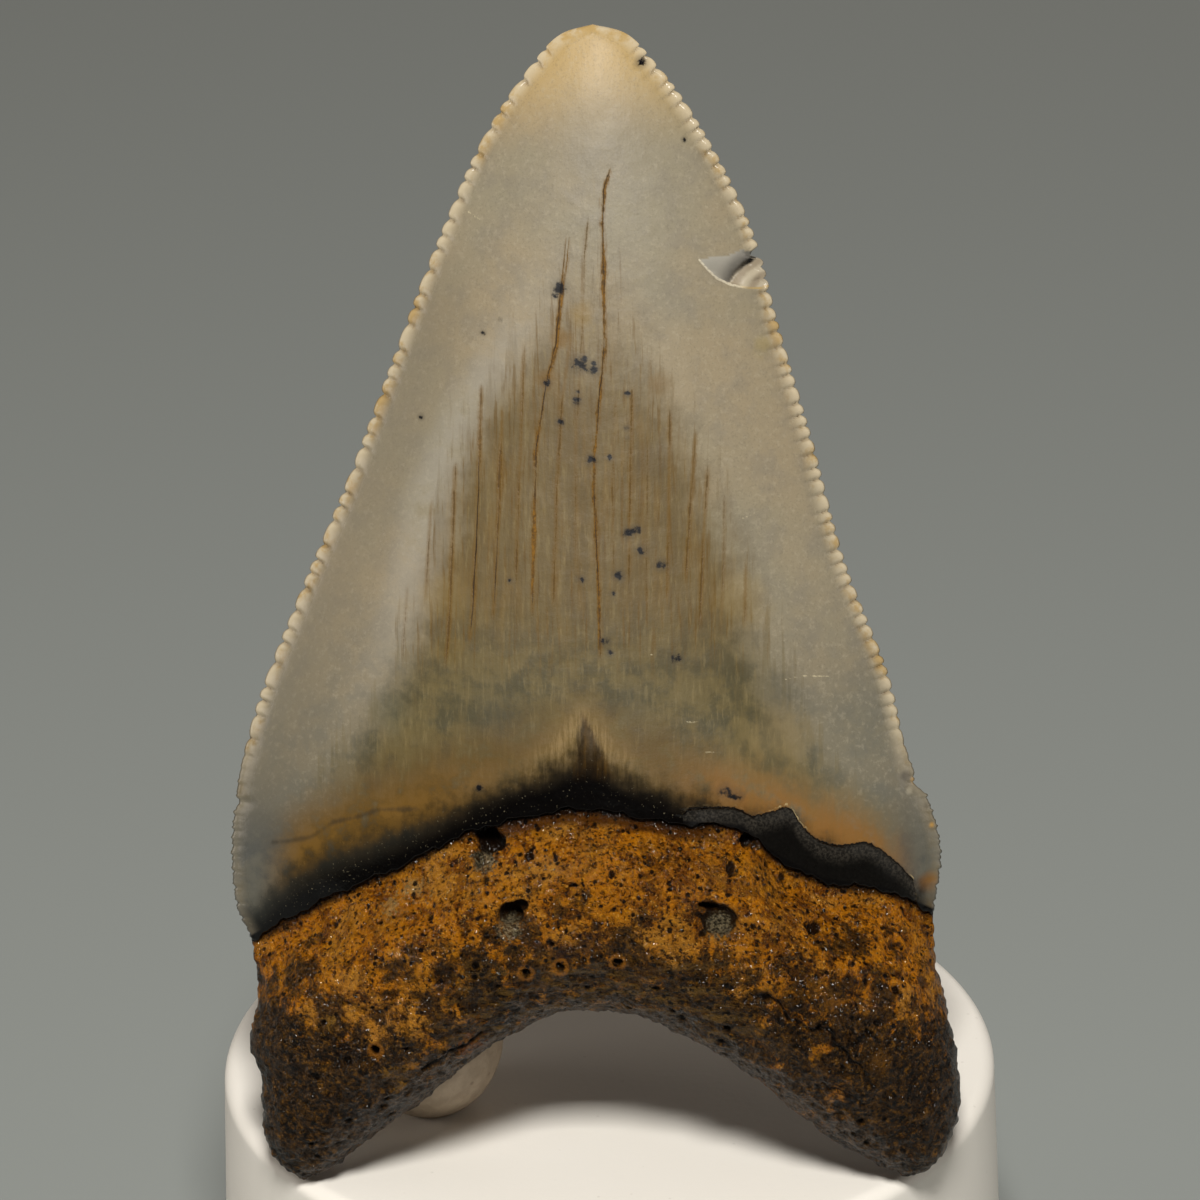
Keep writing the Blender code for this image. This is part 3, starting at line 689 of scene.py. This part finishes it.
relief = add(tree, "Bump", {"Height": height, "Strength": 0.35, "Distance": 0.0002})
feed(tree, surface, {
    "Base Color": colour, "Roughness": rough, "Normal": relief, "IOR": 1.6,
    "Specular IOR Level": 0.2,
})
finish_piece("tooth_crown", bm, enamel, "fossil_tooth", "megalodon_tooth")

# Root of the tooth: porous fossil bone, two lobes round an arch, thickest below the enamel. It
# carries the tooth on its lobe tips and is full of pores, and iron and manganese have stained it.
LEFT_ROOT_EDGE = (
    (-22.2, 15.6), (-21.9, 13.9), (-21.8, 11.4), (-22.3, 9.3), (-21.6, 6.4), (-21.7, 4.3),
    (-20.8, 1.5), (-19.2, 0.15),
)
RIGHT_ROOT_EDGE = (
    (20.4, 17.2), (20.6, 13.7), (21.5, 10.6), (22.1, 6.2), (21.6, 3.2), (20.6, 1.2),
    (18.8, 0.3),
)
ROOT_ARCH = (
    (-19.2, 0.15), (-17.2, 1.1), (-13.1, 4.2), (-9.5, 7.2), (-6.4, 9.6), (-2.8, 11.2),
    (1.6, 11.2), (5.3, 9.6), (9.1, 7.0), (13.2, 3.6), (16.8, 1.4), (18.8, 0.3),
)
ROOT_ROWS, ROOT_COLUMNS = 136, 330
ROOT_FRONT_DEPTH, ROOT_BACK_DEPTH, LOBE_NOSE_BACK = 8.8, 5.0, 0.6
# Pores, large and small: cells to the millimetre, how rare, how wide and how deep they are
PORE_CELLS, PORE_RARITY, PORE_DEPTH = 0.95, 0.25, 0.36
PIN_CELLS, PIN_RARITY, PIN_RADIUS, PIN_DEPTH = 2.1, 0.35, 0.3, 0.12
# Holes: across, up, width, height and depth
FRONT_PITS = (
    (-7.0, 22.7, 2.0, 1.5, 1.5), (-7.6, 21.6, 0.7, 1.1, 0.9), (-5.5, 18.4, 2.0, 1.25, 1.3),
    (-4.9, 18.9, 0.9, 0.8, 0.9), (7.3, 18.0, 2.3, 2.2, 0.9), (6.7, 18.9, 1.4, 0.7, 1.4),
    (8.9, 22.5, 1.0, 0.9, 1.1), (13.0, 17.2, 1.0, 0.85, 1.0), (7.9, 20.9, 0.6, 1.0, 0.7),
    (1.0, 15.3, 0.55, 0.5, 0.8), (-4.6, 14.6, 0.5, 0.45, 0.7), (-2.5, 15.0, 0.5, 0.4, 0.6),
    (-14.0, 9.7, 0.6, 0.6, 0.8), (-4.4, 21.9, 0.6, 0.55, 0.7), (-2.8, 21.9, 0.35, 0.5, 0.6),
    (0.7, 20.9, 0.4, 0.55, 0.6), (-1.6, 20.2, 0.6, 0.3, 0.5),
)
BACK_PITS = (
    (-3.0, 16.0, 1.6, 1.2, 1.1), (6.5, 15.0, 1.2, 1.0, 1.0), (15.5, 9.5, 1.0, 1.0, 0.9),
    (-12.0, 12.0, 0.7, 0.9, 0.7),
)
# Creases and cracks on the front: half width and depth, then points
CREASES = (
    (0.22, 0.28, (9.2, 13.2), (11.4, 12.2), (13.3, 11.0), (14.8, 9.6), (16.3, 8.3)),
    (0.15, 0.20, (9.4, 22.3), (10.6, 20.7), (11.8, 18.8)),
    (0.18, 0.18, (13.6, 7.6), (14.8, 6.8), (15.9, 5.8)),
    (0.18, 0.25, (-11.0, 8.6), (-9.2, 9.8), (-7.6, 10.6)),
    (0.15, 0.20, (-17.0, 13.8), (-15.8, 12.6), (-13.6, 12.2)),
    (0.15, 0.18, (6.0, 14.2), (8.0, 15.4), (9.6, 15.2)),
)
# Pale rock that fills the lower part of three holes, and orange rings round four small ones
ROCKS = ((-7.2, 21.5, 0.85), (-5.6, 17.5, 0.85), (7.3, 17.6, 0.9))
RINGS = ((1.0, 15.3, 1.0), (-4.6, 14.6, 1.0), (-2.5, 15.0, 1.0), (-14.0, 9.7, 1.0))


def root_sheet(sign):
    """Points and marks of one face of the root, down to the arch."""
    even = np.linspace(-1, 1, ROOT_COLUMNS + 1)
    wide = 0.8 * even + 0.2 * np.sin(even * math.pi / 2)
    side = (wide + 1) / 2
    down = np.sin(np.linspace(0.0, math.pi / 2, ROOT_ROWS + 1))
    top, bottom = along(ENAMEL_LINE, side)[None], along(ROOT_ARCH, side)[None]
    left, right = along(LEFT_ROOT_EDGE, down)[:, None], along(RIGHT_ROOT_EDGE, down)[:, None]
    s, d = side[None, :, None], down[:, None, None]
    plan = (1 - d) * top + d * bottom + (1 - s) * left + s * right - (
        (1 - d) * ((1 - s) * top[:, :1] + s * top[:, -1:])
        + d * ((1 - s) * bottom[:, :1] + s * bottom[:, -1:])
    )
    base = ROOT_FRONT_DEPTH if sign > 0 else ROOT_BACK_DEPTH
    foot = crown_foot[sign]
    foot_depth = np.interp(wide, crowded(len(foot) - 1), np.abs(foot[:, 1]))
    lobes = 0.64 + 0.36 * (1 - wide**2)
    under = (0.45 + 0.3 * wide**2)[None]
    below = np.clip((down[:, None] - under) / (1 - under), 0, 1)
    body = base * (lobes * np.sqrt(1 - np.abs(wide) ** 8))[None] * np.sqrt(1 - below**2)
    neck = np.maximum(foot_depth - ENAMEL_STEP, 0)[None]
    swell = ease(down / 0.3)[:, None]
    out = (1 - swell) * neck + swell * body
    lobe = ease((np.abs(wide) - 0.45) / 0.45)[None]
    shift = LOBE_NOSE_BACK * lobe * ease((down - 0.4) / 0.6)[:, None]
    out = out * (1 - 0.2 * sign * shift) - sign * shift
    points = np.dstack([plan[..., 0], -sign * out, plan[..., 1]])
    marks = {"down": np.repeat(down[:, None], len(side), 1), "hollow": np.zeros(out.shape)}
    x, z = plan[..., 0], plan[..., 1]
    for name, spots in (("rock", ROCKS), ("ring", RINGS)):
        marks[name] = np.full(x.shape, 4.0)
        for cx, cz, radius in spots if sign > 0 else ():
            marks[name] = np.minimum(marks[name], np.hypot(x - cx, z - cz) / radius)
    return points, marks


points, marks = wrap(root_sheet(1), root_sheet(-1))
top = points[:1].copy()
top[..., 2] += 0.9
top[..., 1] *= 0.8
points = np.vstack([top, points])
marks = {name: np.vstack([mark[:1], mark]) for name, mark in marks.items()}
bm = sheet_bmesh(points, marks)
close_sheet(bm)
bm.normal_update()
down_layer, hollow_layer = bm.verts.layers.float["down"], bm.verts.layers.float["hollow"]
places = np.array([vertex.co for vertex in bm.verts])
wobble = 0.5 * np.array([noise.noise(vertex.co * 0.9) for vertex in bm.verts])
creases = (places[:, 1] < 0) * np.max([
    depth * (1 - distance_to(line, places[:, 0] + wobble, places[:, 2] + wobble) / half)
    for half, depth, *line in CREASES
], axis=0).clip(0)
moves = {}
for vertex, crease in zip(bm.verts, creases):
    place = vertex.co.copy()
    down = vertex[down_layer]
    rough = min(1.0, down / 0.05)
    lump = 0.42 * noise.noise(place * 0.16 + Vector((3, 1, 7))) + 0.22 * noise.noise(place * 0.5)
    grain = 0.2 * noise.noise(place * 1.2) + 0.14 * noise.noise(place * 2.6)
    (near, *_), (centre, *_) = noise.voronoi(place * PORE_CELLS)
    luck = noise.cell(centre * 5.3)
    radius = 0.1 + 0.24 * abs(luck) ** 1.5
    pore = max(0.0, 1 - (near / radius) ** 2) * (luck > PORE_RARITY)
    (near, *_), (centre, *_) = noise.voronoi(place * PIN_CELLS + Vector((5, 5, 5)))
    small = max(0.0, 1 - (near / PIN_RADIUS) ** 2) * (noise.cell(centre * 3.1) > PIN_RARITY)
    hole, deep = 0.0, 0.0
    for x, z, width, tall, depth in FRONT_PITS if place.y < 0 else BACK_PITS:
        if abs(place.x - x) < width and abs(place.z - z) < tall:
            wobble = 1 + 0.35 * noise.noise(place * 1.8)
            away = math.hypot((place.x - x) / width, (place.z - z) / tall) * 2 * wobble
            share = max(0.0, 1 - away**4) if away < 1 else 0.0
            hole, deep = max(hole, share), max(deep, depth * share)
    facing = 0.45 + 0.55 * abs(vertex.normal.y)
    shift = rough * (facing * lump + grain - PORE_DEPTH * pore - PIN_DEPTH * small)
    shift = shift - deep - crease
    vertex[hollow_layer] = max(hole, 0.9 * pore * rough, 0.5 * small * rough, 2.5 * crease)
    moves[vertex] = vertex.normal * shift
for vertex, move in moves.items():
    vertex.co += move
bmesh.ops.transform(bm, matrix=TOOTH_PLACE, verts=bm.verts)
for vertex in bm.verts:
    vertex.co.z = max(vertex.co.z, PLINTH_HEIGHT * MM)

# Iron-stained fossil bone: bright ochre above, brown to black below, gritty and slightly wet
bone, tree, surface, place = start_material("iron_stained_fossil_bone", TOOTH_PLACE)
mark = {name: add(tree, "Attribute", {}, attribute_name=name).outputs["Fac"] for name in marks}
across, _, up = add(tree, "SeparateXYZ", {"Vector": place}).outputs
cloud = add(tree, "TexNoise", {"Vector": place, "Scale": 0.22, "Detail": 4.0, "Roughness": 0.6})
patch = add(tree, "TexNoise", {
    "Vector": place, "Scale": 0.75, "Detail": 6.0, "Roughness": 0.7, "Distortion": 0.4,
})
tint = add(tree, "TexNoise", {
    "Vector": place, "Scale": 0.5, "Detail": 3.0, "W": 5.0,
}, noise_dimensions="4D")
grit = add(tree, "TexNoise", {
    "Vector": place, "Scale": 2.6, "Detail": 5.0, "Roughness": 0.75, "Distortion": 0.2,
})
crumb = add(tree, "TexNoise", {"Vector": place, "Scale": 6.0, "Detail": 3.0, "Roughness": 0.7})
bent = add(tree, "VectorMath", {
    0: grit.outputs["Color"], 1: (0.5, 0.5, 0.5), 2: place,
}, operation="MULTIPLY_ADD")
# Round pocks and smaller flecks, each only in some of the cells
pocks = add(tree, "TexVoronoi", {"Vector": bent, "Scale": 1.7})
luck = add(tree, "SeparateColor", {"Color": pocks.outputs["Color"]})
pock = mask(tree, (pocks, 0.3, 0.18), (luck, 0.4, 0.5))
flecks = add(tree, "TexVoronoi", {"Vector": bent, "Scale": 3.9})
luck = add(tree, "SeparateColor", {"Color": flecks.outputs["Color"]})
fleck = mask(tree, (flecks, 0.36, 0.2), (luck, 0.55, 0.65))
layers = add(tree, "Mapping", {"Vector": place, "Scale": (0.28, 0.5, 1.5)})
layers = add(tree, "TexNoise", {
    "Vector": layers, "Scale": 1.3, "Detail": 5.0, "Roughness": 0.7, "Distortion": 0.6,
})
# Dark toward the arch and the lobe tips, with a ragged border: partly the bone's stain and partly
# painted shade, as the dark reaches higher in the middle, just above the arch, where the root's
# front turns down
aside = away_from(tree, across, 0.0)
low = total(tree, up, (aside, 0.14), (mask(tree, (aside, 10.0, 3.0)), -1.8))
low = add(tree, "MapRange", {"Value": low, "From Min": 22.0, "From Max": 12.6, "To Max": 0.85})
stain = total(
    tree, low, (patch, 2.2), (cloud, 1.6), (grit, 0.9),
    (mask(tree, (across, -10.0, -16.0, 0.4), (up, 11.5, 6.5)), 1.0),
    (mask(tree, (across, 12.0, 17.0, 0.15), (up, 11.5, 6.5)), 1.0),
)
# Ochre to bright orange, with golden grains and dark ones; the pale crumbs on top are partly pale
# grains and partly painted glints
ochre = lay(tree, "#bd7308", "#713d03", (patch, 0.4, 0.6))
ochre = lay(tree, ochre, "#a56f18", (tint, 0.45, 0.65, 0.45))
ochre = lay(tree, ochre, "#b88233", (cloud, 0.5, 0.36, 0.6), (patch, 0.6, 0.45))
ochre = lay(tree, ochre, "#cf8a18", (grit, 0.54, 0.66, 0.85))
ochre = lay(tree, ochre, "#2a1202", (grit, 0.48, 0.4, 0.9))
ochre = lay(tree, ochre, "#dfa64c", (crumb, 0.58, 0.67, 0.75))
# Umber to black, with olive and rusty grains; the tan crumbs on top are painted glints
umber = lay(tree, "#1a0d04", "#332006", (tint, 0.4, 0.6))
umber = lay(tree, umber, "#4a3010", (patch, 0.42, 0.6, 0.75))
umber = lay(tree, umber, "#825716", (grit, 0.53, 0.64, 0.65))
umber = lay(tree, umber, "#030201", (grit, 0.5, 0.42, 0.92))
umber = lay(tree, umber, "#8f6d3c", (crumb, 0.6, 0.68, 0.45))
colour = lay(tree, ochre, umber, (stain, 2.76, 3.1))
# Ragged stains, dark brown, cream and rusty: across, up, radius, strength and colour
flat = add(tree, "VectorMath", {0: place, 1: (1.0, 0.0, 1.0)}, operation="MULTIPLY")
ragged = total(tree, -3.7, (grit, 3.0), (patch, 4.5))
for x, z, radius, strength, tone in (
    (-9.7, 14.9, 0.9, 0.85, "#150b05"), (-10.6, 12.9, 0.8, 0.85, "#1c0f06"),
    (-7.5, 13.1, 0.8, 0.85, "#150b05"), (-4.2, 14.3, 1.1, 0.8, "#1c1209"),
    (-2.4, 15.9, 1.0, 0.85, "#191014"), (-1.0, 16.7, 1.0, 0.8, "#1b1215"),
    (1.1, 16.4, 0.9, 0.8, "#1c1209"), (3.4, 15.1, 1.0, 0.8, "#150b05"),
    (5.4, 15.0, 0.9, 0.85, "#1c0f06"), (12.3, 14.6, 0.9, 0.8, "#1c1209"),
    (15.6, 16.1, 0.8, 0.8, "#150b05"), (-13.0, 18.6, 0.8, 0.6, "#a98a52"),
    (-11.4, 19.6, 0.8, 0.6, "#b08f56"), (-12.6, 7.8, 0.8, 0.7, "#8a6018"),
    (-16.9, 11.5, 0.7, 0.7, "#9a7029"), (-8.1, 10.1, 1.0, 0.6, "#8a4c10"),
    (17.0, 9.0, 0.8, 0.35, "#8a5a18"), (14.0, 12.8, 1.0, 0.6, "#95601c"),
):
    away = add(tree, "VectorMath", {0: flat, 1: (x, 0.0, z)}, operation="DISTANCE")
    away = total(tree, ragged, (away, 1.0))
    colour = lay(tree, colour, tone, (away, radius, 0.4 * radius, strength))
# Layered bone along the arch, a grey-brown foot, a rusty lip below the enamel and its black seam
bed = mask(tree, (up, 17.0, 13.5), (aside, 12.0, 6.0))
colour = lay(tree, colour, "#6e5327", bed, (layers, 0.5, 0.6, 0.7))
colour = lay(tree, colour, "#110a05", bed, (layers, 0.46, 0.38, 0.8))
grey = lay(tree, "#2e2014", "#6a4e2e", (grit, 0.4, 0.6))
colour = lay(tree, colour, grey, (mark["down"], 0.8, 0.95, 0.75), (patch, 0.4, 0.6))
rusty = lay(tree, "#2c1003", "#5e3508", patch)
colour = lay(tree, colour, rusty, (mark["down"], 0.085, 0.05, 0.9), (aside, 8.5, 6.0))
seam = total(tree, -0.03, (patch, 0.06), (mark["down"], 1.0))
colour = lay(tree, colour, "#0d0603", (seam, 0.04, 0.01, 0.9))
# Orange rings, black pores and the pale rock in three holes
circle = away_from(tree, total(tree, -0.2, (grit, 0.4), (mark["ring"], 1.0)), 0.42)
colour = lay(tree, colour, "#a0651c", (circle, 0.2, 0.06, 0.65))
pitted = add(tree, "Math", {0: pock, 1: mask(tree, fleck, 0.8)}, operation="MAXIMUM")
pitted = add(tree, "Math", {
    0: mask(tree, (mark["hollow"], 0.12, 0.5)), 1: pitted,
}, operation="MAXIMUM")
colour = lay(tree, colour, "#040201", pitted, 0.95)
sand = lay(tree, "#2f291c", "#8a7d60", (crumb, 0.4, 0.62))
colour = lay(tree, colour, sand, (total(tree, mark["rock"], (grit, 2.4)), 2.3, 1.7, 0.9))
rough = add(tree, "MapRange", {
    "Value": crumb, "From Min": 0.4, "From Max": 0.62, "To Min": 0.45, "To Max": 0.25,
})
height = total(
    tree, grit, (crumb, 0.6), (pock, -0.7), (fleck, -0.4), (mask(tree, bed, layers), 0.8),
)
relief = add(tree, "Bump", {"Height": height, "Strength": 1.0, "Distance": 0.0006})
# The film of wax that makes it look wet follows only the larger grains
film = add(tree, "TexNoise", {"Vector": place, "Scale": 3.0, "Detail": 1.0})
film = add(tree, "Bump", {"Height": film, "Strength": 0.8, "Distance": 0.00045})
feed(tree, surface, {
    "Base Color": colour, "Roughness": rough, "Normal": relief, "IOR": 1.5,
    "Specular IOR Level": 0.1, "Coat Normal": film, "Coat Weight": 0.22, "Coat Roughness": 0.05,
})
skin = BVHTree.FromBMesh(bm)
finish_piece("tooth_root", bm, bone, "fossil_tooth", "megalodon_tooth")

# Support putty: a ball of cream adhesive putty, rolled by hand, pressed flat onto the plinth and
# against the back of the left root lobe, where it stops the tooth from falling back.
PUTTY_CENTRE = Vector((-11.6, -5.3, PLINTH_HEIGHT + 4.7)) * MM
PUTTY_RADII = Vector((4.9, 5.4, 5.4)) * MM
PUTTY_GAP = 0.1 * MM
bm = bmesh.new()
bmesh.ops.create_uvsphere(bm, u_segments=96, v_segments=64, radius=1.0)
back_way = (TOOTH_PLACE.to_3x3() @ Vector((0, 1, 0))).normalized()
for vertex in bm.verts:
    lumpy = 1 + 0.02 * noise.noise(vertex.co * 1.3) + 0.008 * noise.noise(vertex.co * 4)
    vertex.co = Vector([c * r * lumpy for c, r in zip(vertex.co, PUTTY_RADII)]) + PUTTY_CENTRE
    vertex.co.z = max(vertex.co.z, PLINTH_HEIGHT * MM)
    touched = skin.ray_cast(vertex.co + back_way * 0.04, -back_way)[0]
    if touched and (vertex.co - touched).dot(back_way) < PUTTY_GAP:
        vertex.co = touched + back_way * PUTTY_GAP
bmesh.ops.remove_doubles(bm, verts=bm.verts, dist=1e-6)
bmesh.ops.recalc_face_normals(bm, faces=bm.faces)

# Adhesive putty: cream, dull, faintly dimpled, with specks of dirt
putty, tree, surface, place = start_material("cream_adhesive_putty")
dimple = add(tree, "TexNoise", {"Vector": place, "Scale": 0.9, "Detail": 5.0, "Roughness": 0.6})
dirt = add(tree, "TexVoronoi", {"Vector": place, "Scale": 0.9})
colour = lay(tree, "#ab9a84", "#9a8a75", (dimple, 0.35, 0.65))
colour = lay(tree, colour, "#6e5c48", (dirt, 0.17, 0.08, 0.6))
relief = add(tree, "Bump", {"Height": dimple, "Strength": 0.5, "Distance": 0.0003})
feed(tree, surface, {"Base Color": colour, "Roughness": 0.62, "Normal": relief, "IOR": 1.5})
finish_piece("putty_lump", bm, putty, "adhesive_putty", "support_putty")

# Studio: a plain pale floor, a small softbox high in front, weak panels on both sides and behind,
# and a faint sky. The camera looks down 26 degrees through a long lens, as the photograph does.
FLOOR_HALF_SIZE = 3.0
LIGHT_AIM = Vector((0, 0, 0.05))
CAMERA_PLACE = (0.00008, -0.36464, 0.23546)
CAMERA_TILT, CAMERA_ROLL = math.radians(64.0), math.radians(-1.3)
bm = bmesh.new()
bmesh.ops.create_grid(bm, x_segments=2, y_segments=2, size=FLOOR_HALF_SIZE)
mesh = bpy.data.meshes.new("floor")
bm.to_mesh(mesh)
bm.free()
floor = bpy.data.objects.new("floor", mesh)
bpy.context.scene.collection.objects.link(floor)
card, tree, surface, place = start_material("pale_card")
feed(tree, surface, {"Base Color": "#929795", "Roughness": 0.8})
mesh.materials.append(card)

for name, place, size, watts, tint in (
    ("key", (0.0, -0.316, 0.455), 0.09, 3.25, "#fffcf6"),
    ("left_panel", (-0.55, 0.02, 0.12), 0.30, 0.85, "#fff4e8"),
    ("right_panel", (0.55, 0.02, 0.12), 0.30, 0.5, "#fff4e8"),
    ("back_panel", (0.05, 0.60, 0.05), 0.30, 0.3, "#fff0e0"),
):
    light = bpy.data.lights.new(name, "AREA")
    light.shape = "SQUARE"
    light.size = size
    light.energy = watts
    light.color = linear(tint)[:3]
    lamp = bpy.data.objects.new(name, light)
    lamp.location = place
    lamp.rotation_euler = (LIGHT_AIM - lamp.location).to_track_quat("-Z", "Y").to_euler()
    bpy.context.scene.collection.objects.link(lamp)

sky = bpy.data.worlds.new("soft_sky")
sky.use_nodes = True
feed(sky.node_tree, sky.node_tree.nodes["Background"], {"Color": "#f0e4d6", "Strength": 0.05})
bpy.context.scene.world = sky
bpy.context.scene.view_settings.view_transform = "Standard"

lens = bpy.data.cameras.new("camera")
lens.lens = 193.9
lens.sensor_width = 36.0
lens.clip_start = 0.01
camera = bpy.data.objects.new("camera", lens)
turn = Matrix.Rotation(CAMERA_TILT, 4, "X") @ Matrix.Rotation(CAMERA_ROLL, 4, "Z")
camera.matrix_world = Matrix.Translation(CAMERA_PLACE) @ turn
bpy.context.scene.collection.objects.link(camera)
bpy.context.scene.camera = camera
